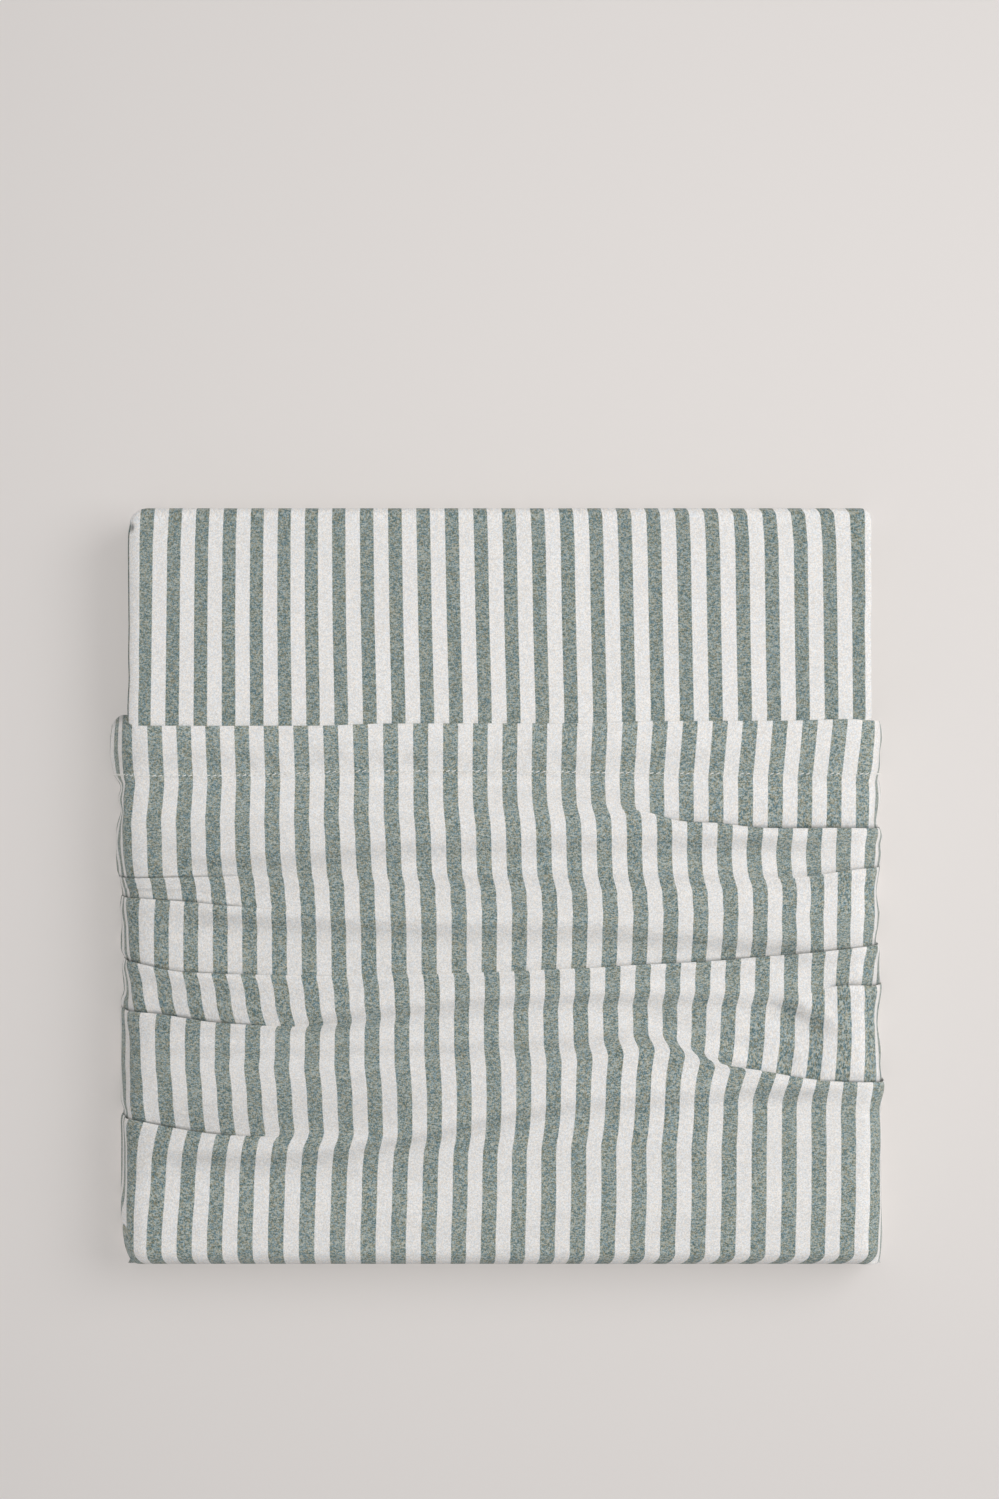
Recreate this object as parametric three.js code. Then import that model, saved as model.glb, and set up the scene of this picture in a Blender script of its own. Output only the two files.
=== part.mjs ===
// A duvet cover, folded into a square pack, in a sack-shaped sleeve of the same striped cloth.
// Millimetres. X runs across the stripes, +Y towards the mouth of the sleeve, +Z up from the floor.
import * as THREE from "three";

// Driving sizes of the cloth
const SLEEVE_THICKNESS = 1.2;
const CLEARANCE = 0.3;
const BASE_Z = SLEEVE_THICKNESS + CLEARANCE;

// The folded cover: each pass is the cover already folded across its width, about 12 plies.
const PASS_COUNT = 6;
const PASS_THICKNESS = 6;
const PASS_GAP = 0.5;
const TURN_STEPS = 6;
const COVER_TOP_Z = BASE_Z + PASS_COUNT * PASS_THICKNESS + (PASS_COUNT - 1) * PASS_GAP;

// One row per pass, from the floor up: where its left and right side edges lie.
const PASS_SIDES = [
  { leftX: -185.6, rightX: 184.2 },
  { leftX: -186.7, rightX: 185.3 },
  { leftX: -186.2, rightX: 184.6 },
  { leftX: -186.9, rightX: 185.7 },
  { leftX: -185.9, rightX: 185.1 },
  { leftX: -186.2, rightX: 184.9 },
];

// One row per turn, from the floor up: the way it faces and how far the cloth reaches there.
const PASS_TURNS = [
  { towards: 1, reachY: 188.6 },
  { towards: -1, reachY: -186.8 },
  { towards: 1, reachY: 187.4 },
  { towards: -1, reachY: -185.2 },
  { towards: 1, reachY: 190.2 },
];
const LOWER_FREE_END_Y = -178;
const UPPER_FREE_END_Y = -172;

// Across its width the pack has these sections, measured in from each side edge.
const SIDE_SECTIONS = [
  { fromSide: 0, thicknessShare: 0.45 },
  { fromSide: 1, thicknessShare: 0.75 },
  { fromSide: 2.6, thicknessShare: 0.92 },
  { fromSide: 5.5, thicknessShare: 1 },
  { fromSide: 11, thicknessShare: 1 },
];
const LEFT_CORNER_RADIUS = 10;
const RIGHT_CORNER_RADIUS = 4;

// Past the mouth nothing carries the pack, so it sags to the floor.
const SAG_DEPTH = 1.2;
const SAG_START_Y = 78;
const SAG_END_Y = 120;

// The sleeve
const SLEEVE_HALF_WIDTH = 190.1;
const MOUTH_Y = 80;
const CLOSED_END_Y = -189.7;
const UPPER_CORNER_RADIUS = 7;
const LOWER_CORNER_RADIUS = 5;
const END_RADIUS = 4;
const PANEL_COLUMNS = 12;
const UPPER_CORNER_STEPS = 3;
const LOWER_CORNER_STEPS = 2;
const HEM_DEPTH = 26;
const HEM_EXTRA_THICKNESS = 0.9;
const HEM_STEP_LENGTH = 1;
const MOUTH_FLARE_LEFT = 3.5;

// The sleeve is bunched along its length into tucks. In each the lower cloth laps over the upper.
const TUCK_OVERLAP = 4;
const TUCK_TURN_RADIUS = 0.85;
const TUCK_REACH = 7;
const TUCK_HEIGHT = 4 * TUCK_TURN_RADIUS;
const LANDING_SHARE = 0.8;

// One row per tuck, from the mouth down. At five places across the sleeve, edgeY is where the
// folded edge lies and pull is how far the tuck is drawn up, from 0, flat, to 1, lapped over.
const ACROSS = [-190, -95, 0, 95, 190];
const TUCKS = [
  { edgeY: [40, 39, 38, 33.3, 28.5], pull: [0, 0, 0.1, 0.95, 1] },
  { edgeY: [-6, -12, -14, -12, -10], pull: [1, 0.35, 0, 0, 0] },
  { edgeY: [-38, -43.7, -42.4, -37.2, -29.8], pull: [0.9, 0.85, 0.85, 1, 1] },
  { edgeY: [-62.5, -69, -60, -56, -55], pull: [0.95, 0.4, 0.15, 0.1, 0] },
  { edgeY: [-88, -84, -80, -81.5, -97], pull: [0, 0, 0, 0.6, 1] },
  { edgeY: [-116, -125, -124, -122, -124], pull: [0.9, 0.3, 0, 0, 0] },
];

// How much of a tuck reaches each part of the sleeve's section
const GIVE = { panel: 1, upperCorner: 0.75, wall: 0.35, floor: 0 };

function smoothStep(low, high, value) {
  return THREE.MathUtils.smoothstep(value, low, high);
}

// The value at x of a row that states one number at each place of ACROSS
function alongRow(values, x) {
  const last = ACROSS.length - 1;
  const clamped = THREE.MathUtils.clamp(x, ACROSS[0], ACROSS[last]);
  let cell = 0;
  while (cell < last - 1 && clamped > ACROSS[cell + 1]) {
    cell += 1;
  }
  const share = smoothStep(ACROSS[cell], ACROSS[cell + 1], clamped);
  return THREE.MathUtils.lerp(values[cell], values[cell + 1], share);
}

// Two triangles for each cell between neighbouring rings, which close on themselves
function ringFaces(ringCount, pointsPerRing, firstIndex, outward) {
  const faces = [];
  for (let ring = 0; ring < ringCount - 1; ring += 1) {
    for (let point = 0; point < pointsPerRing; point += 1) {
      const next = (point + 1) % pointsPerRing;
      const a = firstIndex + ring * pointsPerRing + point;
      const b = firstIndex + ring * pointsPerRing + next;
      const c = b + pointsPerRing;
      const d = a + pointsPerRing;
      if (outward) {
        faces.push([a, b, c], [a, c, d]);
      } else {
        faces.push([a, c, b], [a, d, c]);
      }
    }
  }
  return faces;
}

// Faces over one ring, worked out from its outline in the plane across the ring
function capFaces(outline, firstIndex, turned) {
  const triangles = THREE.ShapeUtils.triangulateShape(outline, []);
  return triangles.map(([a, b, c]) => {
    const corners = turned ? [a, c, b] : [a, b, c];
    return corners.map((corner) => firstIndex + corner);
  });
}

function solidMesh(name, points, faces, color) {
  const geometry = new THREE.BufferGeometry();
  const positions = points.flatMap((point) => [point.x, point.y, point.z]);
  geometry.setAttribute("position", new THREE.Float32BufferAttribute(positions, 3));
  geometry.setIndex(faces.flat());
  geometry.computeVertexNormals();
  const material = new THREE.MeshStandardMaterial({ color, roughness: 0.92, metalness: 0 });
  const mesh = new THREE.Mesh(geometry, material);
  mesh.name = name;
  return mesh;
}

// The middle line of the folded strip, from its lower free end to its upper one. level counts the
// passes and runs on smoothly round each turn.
function stripMiddleLine(cornerInset) {
  const pitch = PASS_THICKNESS + PASS_GAP;
  const turnRadius = pitch / 2;
  const outerRadius = turnRadius + PASS_THICKNESS / 2;
  const line = [];
  const addStraight = (level, direction, stops) => {
    for (const y of stops) {
      line.push({ y, level, outY: 0, outZ: direction });
    }
  };
  const bends = [SAG_START_Y, SAG_END_Y];
  addStraight(0, 1, [LOWER_FREE_END_Y]);
  PASS_TURNS.forEach((turn, level) => {
    const inset = turn.towards > 0 ? cornerInset : 0;
    const centreY = turn.reachY - turn.towards * (outerRadius + inset);
    addStraight(level, turn.towards, turn.towards > 0 ? bends : bends.toReversed());
    for (let step = 0; step <= TURN_STEPS; step += 1) {
      const angle = Math.PI * (step / TURN_STEPS - 0.5);
      const outY = Math.cos(angle) * turn.towards;
      const outZ = Math.sin(angle);
      line.push({
        y: centreY + turnRadius * outY,
        level: level + (outZ + 1) / 2,
        outY: -outY * turn.towards,
        outZ: -outZ * turn.towards,
      });
    }
  });
  addStraight(PASS_COUNT - 1, -1, [...bends.toReversed(), UPPER_FREE_END_Y]);
  return line;
}

// One section of the pack: its middle line with half the thickness on each side
function coverSection(section, side) {
  const radius = side === "leftX" ? LEFT_CORNER_RADIUS : RIGHT_CORNER_RADIUS;
  const intoCorner = Math.max(radius - section.fromSide, 0);
  const cornerInset = radius - Math.sqrt(radius ** 2 - intoCorner ** 2);
  const inward = side === "leftX" ? 1 : -1;
  const half = (PASS_THICKNESS * section.thicknessShare) / 2;
  const pitch = PASS_THICKNESS + PASS_GAP;
  const place = (step, sign) => {
    const lowerPass = Math.min(Math.floor(step.level), PASS_COUNT - 2);
    const share = step.level - lowerPass;
    const lowerX = PASS_SIDES[lowerPass][side];
    const upperX = PASS_SIDES[lowerPass + 1][side];
    const edgeX = THREE.MathUtils.lerp(lowerX, upperX, share);
    const sag = SAG_DEPTH * smoothStep(SAG_START_Y, SAG_END_Y, step.y);
    const middleZ = BASE_Z + PASS_THICKNESS / 2 + step.level * pitch - sag;
    return new THREE.Vector3(
      edgeX + inward * section.fromSide,
      step.y + sign * half * step.outY,
      middleZ + sign * half * step.outZ,
    );
  };
  const line = stripMiddleLine(cornerInset);
  const oneSide = line.map((step) => place(step, 1));
  const otherSide = line.map((step) => place(step, -1)).reverse();
  return [...oneSide, ...otherSide];
}

function foldedCover() {
  const leftSections = SIDE_SECTIONS.map((section) => coverSection(section, "leftX"));
  const rightSections = SIDE_SECTIONS.map((section) => coverSection(section, "rightX")).reverse();
  const sections = [...leftSections, ...rightSections];
  const pointsPerRing = sections[0].length;
  const lastFirstIndex = (sections.length - 1) * pointsPerRing;
  const outlineOf = (section) => section.map((point) => new THREE.Vector2(point.y, point.z));
  const faces = [
    ...ringFaces(sections.length, pointsPerRing, 0, false),
    ...capFaces(outlineOf(sections[0]), 0, true),
    ...capFaces(outlineOf(sections[sections.length - 1]), lastFirstIndex, false),
  ];
  return solidMesh("folded_cover", sections.flat(), faces, 0xa9b0ad);
}

// The sleeve's section across its width, on the middle of the cloth, from the floor up the left
// side, over the top panel and down the right side
function sleeveColumns() {
  const half = SLEEVE_THICKNESS / 2;
  const sideX = SLEEVE_HALF_WIDTH - half;
  const topZ = COVER_TOP_Z + CLEARANCE + half;
  const columns = [];
  const addCorner = (sideSign, upper) => {
    const radius = upper ? UPPER_CORNER_RADIUS : LOWER_CORNER_RADIUS;
    const steps = upper ? UPPER_CORNER_STEPS : LOWER_CORNER_STEPS;
    const centreX = sideSign * (sideX - radius);
    const centreZ = upper ? topZ - radius : half + radius;
    const corner = [];
    for (let step = 0; step <= steps; step += 1) {
      const angle = (Math.PI / 2) * (step / steps);
      const outX = sideSign * Math.cos(angle);
      const outZ = (upper ? 1 : -1) * Math.sin(angle);
      const give = upper ? GIVE.upperCorner : GIVE.floor;
      const share = upper ? step / steps : 1 - step / steps;
      const wallGive = THREE.MathUtils.lerp(GIVE.wall, give, share);
      corner.push({
        x: centreX + radius * outX,
        z: centreZ + radius * outZ,
        outX,
        outZ,
        give: upper ? wallGive : GIVE.wall * share,
      });
    }
    return corner;
  };
  columns.push(...addCorner(-1, false).reverse(), ...addCorner(-1, true));
  const panelHalf = sideX - UPPER_CORNER_RADIUS;
  for (let step = 1; step < PANEL_COLUMNS; step += 1) {
    const x = panelHalf * ((2 * step) / PANEL_COLUMNS - 1);
    columns.push({ x, z: topZ, outX: 0, outZ: 1, give: GIVE.panel });
  }
  columns.push(...addCorner(1, true).reverse(), ...addCorner(1, false));
  return columns;
}

// The lapped path of a full tuck: down the panel, back up round a hidden turn, and over the edge
// that shows. downY counts away from the mouth.
function tuckPath() {
  const turnCentre = TUCK_OVERLAP / 2 - TUCK_TURN_RADIUS;
  const path = [{ downY: -TUCK_REACH, lift: 0 }];
  for (const [sign, middleLift] of [[1, TUCK_TURN_RADIUS], [-1, 3 * TUCK_TURN_RADIUS]]) {
    for (const angle of [-Math.PI / 2, 0, Math.PI / 2]) {
      path.push({
        downY: sign * (turnCentre + TUCK_TURN_RADIUS * Math.cos(angle)),
        lift: middleLift + TUCK_TURN_RADIUS * Math.sin(angle),
      });
    }
  }
  path.push({ downY: TUCK_REACH, lift: LANDING_SHARE * TUCK_HEIGHT });
  const edge = (TUCK_OVERLAP + SLEEVE_THICKNESS) / 2;
  return path.map((point, index) => {
    const flatY = TUCK_REACH * ((2 * index) / (path.length - 1) - 1);
    return { fullY: point.downY + edge, flatY: flatY + edge, lift: point.lift };
  });
}

// Every row of the sleeve at one column, from the mouth to the closed end: its place along Y, how
// far it lifts off the section, and the thickness added on its outer side. The hem's turned ply
// adds none on the floor, where it presses into the pack instead.
function sleeveRows(column) {
  const flare = MOUTH_FLARE_LEFT * Math.max(-column.outX, 0) * Math.max(column.outZ, 0.5);
  const hemEndY = MOUTH_Y - HEM_DEPTH;
  const hemExtra = HEM_EXTRA_THICKNESS * Math.min(1 + column.outZ, 1);
  const rows = [
    { y: MOUTH_Y, lift: flare, extra: hemExtra },
    { y: MOUTH_Y - HEM_DEPTH / 2, lift: 0, extra: hemExtra },
    { y: hemEndY, lift: 0, extra: hemExtra },
    { y: hemEndY - HEM_STEP_LENGTH, lift: 0, extra: 0 },
  ];
  const path = tuckPath();
  TUCKS.forEach((tuck, index) => {
    const edgeY = alongRow(tuck.edgeY, column.x);
    const pull = alongRow(tuck.pull, column.x) * column.give;
    if (index > 0) {
      const between = (edgeY + alongRow(TUCKS[index - 1].edgeY, column.x)) / 2;
      rows.push({ y: between, lift: 0, extra: 0 });
    }
    for (const point of path) {
      const downY = THREE.MathUtils.lerp(point.flatY, point.fullY, pull);
      rows.push({ y: edgeY - downY, lift: point.lift * pull, extra: 0 });
    }
  });
  const endY = CLOSED_END_Y + SLEEVE_THICKNESS / 2;
  rows.push({ y: endY + 3 * END_RADIUS, lift: 0, extra: 0 });
  for (const angle of [0, Math.PI / 4, Math.PI / 2]) {
    rows.push({
      y: endY + END_RADIUS * (1 - Math.sin(angle)),
      lift: -END_RADIUS * (1 - Math.cos(angle)),
      extra: 0,
    });
  }
  return rows;
}

// The outer and the inner face of one column of the sleeve. The cloth's middle line is offset
// square to its own direction, also where a tuck doubles it back.
function columnFaces(column) {
  const rows = sleeveRows(column);
  const half = SLEEVE_THICKNESS / 2;
  const last = rows.length - 1;
  const outer = [];
  const inner = [];
  rows.forEach((row, index) => {
    const before = rows[Math.max(index - 1, 0)];
    const after = rows[Math.min(index + 1, last)];
    const direction = new THREE.Vector2(before.y - after.y, after.lift - before.lift);
    if (index === 0) {
      direction.set(1, 0);
    }
    if (index === last) {
      direction.set(0, -1);
    }
    direction.normalize();
    const place = (offset) => {
      const out = row.lift + offset * direction.x;
      const x = column.x + column.outX * out;
      const z = column.z + column.outZ * out;
      return new THREE.Vector3(x, row.y + offset * direction.y, z);
    };
    outer.push(place(half + row.extra));
    inner.push(place(-half));
  });
  return { outer, inner };
}

function clothSleeve() {
  const columns = sleeveColumns().map(columnFaces);
  const rowCount = columns[0].outer.length;
  const pointsPerRing = columns.length;
  const points = [];
  for (const skin of ["outer", "inner"]) {
    for (let row = 0; row < rowCount; row += 1) {
      points.push(...columns.map((column) => column[skin][row]));
    }
  }
  const innerFirst = rowCount * pointsPerRing;
  const outlineOf = (firstIndex) => points
    .slice(firstIndex, firstIndex + pointsPerRing)
    .map((point) => new THREE.Vector2(point.x, point.z));
  const outerEnd = (rowCount - 1) * pointsPerRing;
  const innerEnd = innerFirst + outerEnd;
  const faces = [
    ...ringFaces(rowCount, pointsPerRing, 0, false),
    ...ringFaces(rowCount, pointsPerRing, innerFirst, true),
    ...capFaces(outlineOf(outerEnd), outerEnd, false),
    ...capFaces(outlineOf(innerEnd), innerEnd, true),
  ];
  for (let point = 0; point < pointsPerRing; point += 1) {
    const next = (point + 1) % pointsPerRing;
    faces.push([point, next, innerFirst + next], [point, innerFirst + next, innerFirst + point]);
  }
  return solidMesh("cloth_sleeve", points, faces, 0x8f9f97);
}

const object = new THREE.Group();
object.add(foldedCover(), clothSleeve());
const box = new THREE.Box3().setFromObject(object);
const centre = box.getCenter(new THREE.Vector3());
object.position.set(-centre.x, -centre.y, -box.min.z);

export default object;
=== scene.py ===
import math

import bpy
import numpy as np
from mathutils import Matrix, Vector


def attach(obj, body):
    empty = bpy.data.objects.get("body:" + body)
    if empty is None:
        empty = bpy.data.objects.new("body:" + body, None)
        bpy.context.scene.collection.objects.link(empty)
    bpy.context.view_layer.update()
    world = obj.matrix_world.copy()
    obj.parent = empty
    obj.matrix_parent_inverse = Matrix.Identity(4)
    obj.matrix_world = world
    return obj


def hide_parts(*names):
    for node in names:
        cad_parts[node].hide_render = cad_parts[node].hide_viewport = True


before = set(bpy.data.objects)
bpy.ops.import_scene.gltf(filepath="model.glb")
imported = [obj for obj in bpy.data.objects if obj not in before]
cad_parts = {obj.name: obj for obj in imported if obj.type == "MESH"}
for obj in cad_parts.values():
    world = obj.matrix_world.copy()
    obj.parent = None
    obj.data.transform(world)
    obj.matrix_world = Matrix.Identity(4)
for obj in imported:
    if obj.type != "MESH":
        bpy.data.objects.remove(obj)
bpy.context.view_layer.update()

# Sizes below are in millimetres in the CAD frame's directions, counted from the middle of the pack
# as the photograph shows it. OFFSET brings them to the frame's origin.
MM = 0.001
OFFSET = np.array([0.73, -0.25, 0.0])

# Folded cover
PASS_COUNT = 6
PLIES_PER_PASS = 12
PLY_PITCH = 0.5
PASS_THICKNESS = PLIES_PER_PASS * PLY_PITCH
PASS_PITCH = 6.5
COVER_BASE_Z = 1.5
COVER_TOP_Z = COVER_BASE_Z + PASS_THICKNESS + (PASS_COUNT - 1) * PASS_PITCH
COVER_LEFT_X, COVER_RIGHT_X = -186.3, 184.9

# Sleeve
SLEEVE_TOP_Z = COVER_TOP_Z + 0.5
SLEEVE_FLOOR_Z = 0.25
LOWER_RADIUS = 4.0
MOUTH_Y = 80.0
STITCH_Y = 55.0
CLOSED_END_Y = -189.7
END_RADIUS = 9.0

# Stripes of each cloth: pitch, where one green stripe starts, the green's share of the pitch, and
# how much darker the green is where the cloth lies tighter
SLEEVE_STRIPES = {"pitch": 15.0, "first_edge": -177.0, "green_share": 0.5, "deepen": 0.0}
COVER_STRIPES = {"pitch": 14.25, "first_edge": -180.75, "green_share": 0.48, "deepen": 0.13}

# Soft lines are worked out every millimetre across LINE_HALF either way, and blurred over
# BLUR_REACH points either way. Soft noise repeats after NOISE_CELLS lumps.
LINE_HALF = 260.0
BLUR_REACH = 12
NOISE_CELLS = 64


def smoothstep(low, high, value):
    share = np.clip((value - low) / (high - low), 0.0, 1.0)
    return share * share * (3.0 - 2.0 * share)


def soft_line(places, values, x, blur=4.0):
    """The line through the points (places, values), with its corners rounded off over blur."""
    fine = np.arange(-LINE_HALF, LINE_HALF + 0.5, 1.0)
    straight = np.interp(fine, places, values)
    reach = np.arange(-BLUR_REACH, BLUR_REACH + 1)
    kernel = np.exp(-0.5 * (reach / blur) ** 2)
    padded = np.pad(straight, BLUR_REACH, mode="edge")
    rounded = np.convolve(padded, kernel / kernel.sum(), mode="valid")
    return np.interp(x, fine, rounded)


def soft_curve(points, x, blur=4.0):
    """soft_line through a table of points, given in either order."""
    places, values = zip(*sorted(points))
    return soft_line(places, values, x, blur)


def soft_noise(x, y, size_x, size_y, seed):
    """Smooth noise from about -1 to 1, with lumps of about size_x by size_y."""
    lattice = np.random.default_rng(seed).uniform(-1.0, 1.0, (NOISE_CELLS, NOISE_CELLS))
    cell_x, cell_y = np.asarray(x) / size_x, np.asarray(y) / size_y
    col, row = np.floor(cell_x).astype(int), np.floor(cell_y).astype(int)
    part_x, part_y = smoothstep(0, 1, cell_x - col), smoothstep(0, 1, cell_y - row)

    def corner(columns_on, rows_on):
        return lattice[(row + rows_on) % NOISE_CELLS, (col + columns_on) % NOISE_CELLS]

    upper = corner(0, 0) * (1 - part_x) + corner(1, 0) * part_x
    lower = corner(0, 1) * (1 - part_x) + corner(1, 1) * part_x
    return upper * (1 - part_y) + lower * part_y


def add_object(name, data):
    """A new object in the scene that holds data: a mesh, a light or a camera."""
    holder = bpy.data.objects.new(name, data)
    bpy.context.scene.collection.objects.link(holder)
    return holder


def smooth_piece(name, points, faces):
    """A smooth-shaded object from a list of points and faces."""
    mesh = bpy.data.meshes.new(name)
    mesh.from_pydata(((points + OFFSET) * MM).tolist(), [], faces)
    mesh.shade_smooth()
    return add_object(name, mesh)


def grid_mesh(name, points, cloth, painted_shade):
    """A sheet from a rows by columns grid of points, with each point's place on the flat cloth and
    how much painted shade darkens it, from 0 to 1."""
    rows, columns, _ = points.shape
    index = np.arange(rows * columns).reshape(rows, columns)
    corners = (index[:-1, :-1], index[:-1, 1:], index[1:, 1:], index[1:, :-1])
    faces = np.stack(corners, axis=-1).reshape(-1, 4)
    piece = smooth_piece(name, points.reshape(-1, 3), faces.tolist())
    attribute = piece.data.attributes.new("cloth_mm", "FLOAT_VECTOR", "POINT")
    flat = np.concatenate([cloth, np.zeros((rows, columns, 1))], axis=2)
    attribute.data.foreach_set("vector", flat.astype(np.float32).ravel())
    shade = piece.data.attributes.new("painted_shade", "FLOAT", "POINT")
    shade.data.foreach_set("value", painted_shade.astype(np.float32).ravel())
    return piece


# Tucks of the sleeve, from the mouth down. Each is a line of points (x, y, pull), where pull is how
# far it is drawn up, from 0, flat, to 1, lapped over. overlap, height and dip are a full tuck's.
TUCKS = [
    {"overlap": 2.0, "height": 2.6, "dip": 1.0, "line": [
        (-190, 32.5, 0), (-75, 35, 0), (-25, 36, 0), (20, 37, 0), (50, 38, 0.05), (62, 39.3, 0.15),
        (69.5, 39.5, 0.3), (79.5, 36.5, 0.55), (88.5, 32.8, 0.85), (96, 32, 1), (108, 31.7, 1),
        (130, 29.5, 1), (190, 29, 1)]},
    {"overlap": 1.2, "height": 1.4, "dip": 0.8, "line": [
        (-190, 4.3, 0.9), (-169, 4.5, 0.9), (-140, 5.5, 0.8), (-120, 6, 0.6), (-94, 4.5, 0.4),
        (-58, 3.5, 0.25), (-15, 1.5, 0.05), (10, 1, 0), (100, 2.5, 0), (120, 3.5, 0.1),
        (146, 5, 0.5), (160, 6.5, 0.7), (182, 9.5, 0.8), (190, 10, 0.8)]},
    {"overlap": 1.8, "height": 2.2, "dip": 1.2, "line": [
        (-190, -6, 1), (-180, -6.3, 1), (-166, -7, 1), (-151, -8, 1), (-136, -9.5, 0.9),
        (-129, -10, 0.7), (-118, -10.3, 0.3), (-105, -11, 0.05), (-85, -12, 0), (190, -14, 0)]},
    {"overlap": 2.0, "height": 2.4, "dip": 1.3, "line": [
        (-190, -37.5, 1), (-180, -39.5, 1), (-166, -42, 1), (-151, -43.2, 0.9), (-129, -43.8, 0.75),
        (-100, -44, 0.6), (-70, -43.7, 0.5), (-20, -42.5, 0.5), (12, -41.5, 0.6),
        (58, -39.3, 0.75), (102, -37, 0.9), (132, -34.8, 1), (156, -32.7, 1), (174, -31, 1),
        (190, -29.8, 1)]},
    {"overlap": 1.8, "height": 2.2, "dip": 1.3, "line": [
        (-190, -62.3, 1), (-177, -63.5, 1), (-163, -66, 1), (-148, -68, 1), (-133, -68.7, 0.9),
        (-126, -69, 0.7), (-113, -69.3, 0.4), (-98, -69.5, 0.15), (-75, -68, 0.05),
        (-53, -65.5, 0), (-23, -60.5, 0), (67, -56, 0), (141, -54.5, 0.05),
        (157, -51.5, 0.3), (167, -49.3, 0.8), (175, -49.3, 1), (190, -50, 1)]},
    {"overlap": 2.0, "height": 2.6, "dip": 0.9, "line": [
        (-190, -89.5, 0), (-50, -88.5, 0), (25, -84.5, 0), (75, -77, 0), (84, -79.5, 0.03),
        (95, -84.3, 0.08), (103, -87.3, 0.13), (111, -89.2, 0.28), (117, -90.4, 0.55),
        (121, -91.4, 0.85), (126, -92.6, 1), (130, -93.4, 1), (143, -95.4, 1), (157, -96.9, 1),
        (179, -97.6, 1), (190, -98, 1)]},
    {"overlap": 1.8, "height": 2.0, "dip": 1.1, "line": [
        (-190, -116, 1), (-185, -117.5, 1), (-172, -120.3, 1), (-158, -122.5, 1),
        (-143, -124, 0.85), (-127, -124.3, 0.6), (-120, -124.5, 0.3), (-110, -125, 0.05),
        (-85, -127, 0), (0, -129.5, 0), (190, -130.5, 0)]},
]
ROWS_PER_TUCK = 36
FOLD_TURN = 1.1
TUCK_REACH, LAST_TUCK_REACH = 16.0, 22.0
TUCK_SHADE = 0.16

# Rows of the plain cloth below the tucks, and of the turn at the closed end
PLAIN_ROWS, END_TURN_ROWS = 15, 8

# How far the stripes have slid sideways, at nine places across the sleeve. Each tuck has a row
# just above its edge, one just below, and one halfway to the next tuck.
ACROSS = (-175, -125, -75, -25, 25, 75, 125, 150, 175)
LEAN_AT_MOUTH = (0.3, -1.5, -2.0, -1.8, -2.4, -2.1, -2.1, -2.2, -2.1)
LEAN_AT_STITCHES = (1.5, -0.6, -1.2, -2.0, -2.8, -4.0, -4.6, -4.6, -5.3)
LEAN = [
    {"above": (-0.2, -0.8, -1.5, -1.6, -2.0, -3.5, -4.6, -5.2, -5.6),
     "below": (-0.1, -1.1, -1.6, -1.1, -1.0, -0.7, 0.1, 0.3, -0.8),
     "between": (0.2, -0.8, -0.6, -0.3, -0.3, 0.0, -0.3, -0.6, -0.8)},
    {"above": (1.0, 0.6, 0.5, 0.6, 0.6, 0.5, 0.6, 0.4, -1.0),
     "below": (1.1, 0.4, 1.2, 2.0, 2.5, 2.1, 2.0, 1.2, -0.4),
     "between": (2.5, 1.8, 1.3, 1.9, 2.5, 2.6, 2.9, 2.4, -0.8)},
    {"above": (4.6, 3.5, 1.5, 2.5, 2.9, 3.2, 3.3, 1.7, -0.6),
     "below": (5.0, 2.6, 1.6, 2.5, 2.8, 3.2, 3.0, 1.3, -0.9),
     "between": (3.6, 2.7, 2.2, 2.4, 2.5, 2.8, 2.5, 2.3, -1.3)},
    {"above": (3.8, 3.0, 2.6, 2.4, 1.8, 1.7, 0.7, 2.2, -0.4),
     "below": (3.4, 1.6, 2.5, 3.4, 3.8, 4.7, 4.2, 2.9, -0.4),
     "between": (5.4, 4.3, 3.9, 4.0, 4.0, 3.9, 3.9, 2.6, -1.6)},
    {"above": (9.6, 8.6, 5.3, 4.0, 3.9, 3.9, 3.8, 2.6, -2.6),
     "below": (5.2, 4.6, 3.7, 3.4, 2.7, 2.3, 2.6, 3.6, -2.2),
     "between": (4.2, 4.3, 4.0, 3.6, 3.2, 2.9, 1.0, 1.6, -0.4)},
    {"above": (4.5, 3.9, 3.8, 4.0, 3.8, 2.8, -2.2, -2.0, -1.8),
     "below": (4.6, 3.4, 4.0, 4.3, 4.9, 7.2, 7.8, 4.8, 2.2),
     "between": (5.6, 5.1, 5.4, 5.0, 4.4, 4.1, 2.6, 2.0, 1.7)},
    {"above": (7.9, 7.3, 6.3, 4.6, 2.2, 2.1, 2.1, 2.1, 2.0),
     "below": (6.4, 3.9, 4.2, 3.4, 1.9, 2.0, 2.1, 2.2, 1.9),
     "between": (2.3, 1.2, 2.7, 3.0, 2.0, 2.3, 2.1, 2.2, 1.8)},
]
LEAN_NEAR_END = (-0.4, 0.2, 1.7, 2.1, 1.4, 1.5, 1.8, 1.8, 1.2)
LEAN_AT_END = (1.8, 1.2, 1.6, 1.6, -0.6, -2.6, -4.4, -4.6, -4.6)

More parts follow.
